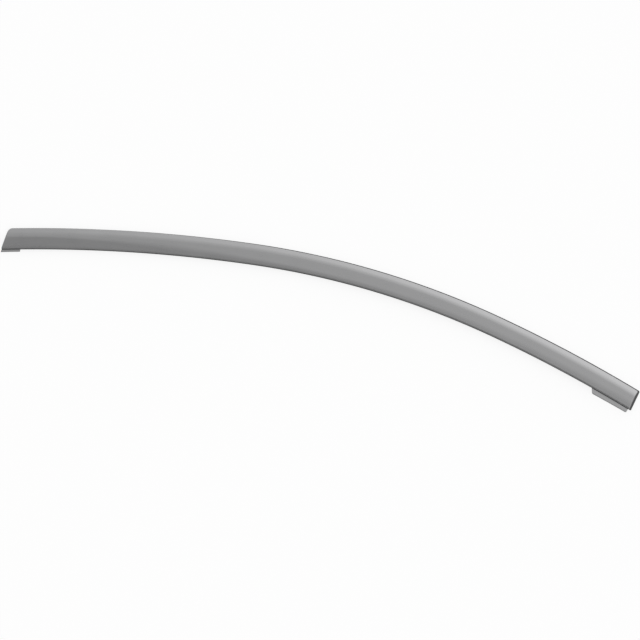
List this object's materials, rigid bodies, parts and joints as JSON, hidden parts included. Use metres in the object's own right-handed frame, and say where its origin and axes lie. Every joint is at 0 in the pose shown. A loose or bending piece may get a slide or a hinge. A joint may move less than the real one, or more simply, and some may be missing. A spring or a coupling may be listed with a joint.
{
  "type": "window moulding",
  "caption": "Long arched strip of drawn sheet metal that trims the upper edge of a side window, with a crowned satin face, closed ends, an open back and foot tabs.",
  "frame": {"origin": "middle of the bounding box in plan, on the level that the feet of the walls and the tabs lie on", "axes": "+X along the strip to its rear, lower end, +Y towards the roof side, +Z out of the crowned face"},
  "size_m": [0.8014, 0.2396, 0.0075],
  "materials": {
    "satin_metal": "satin"
  },
  "bodies": {
    "root": {"moulding_strip": "satin_metal"}
  },
  "joints": []
}
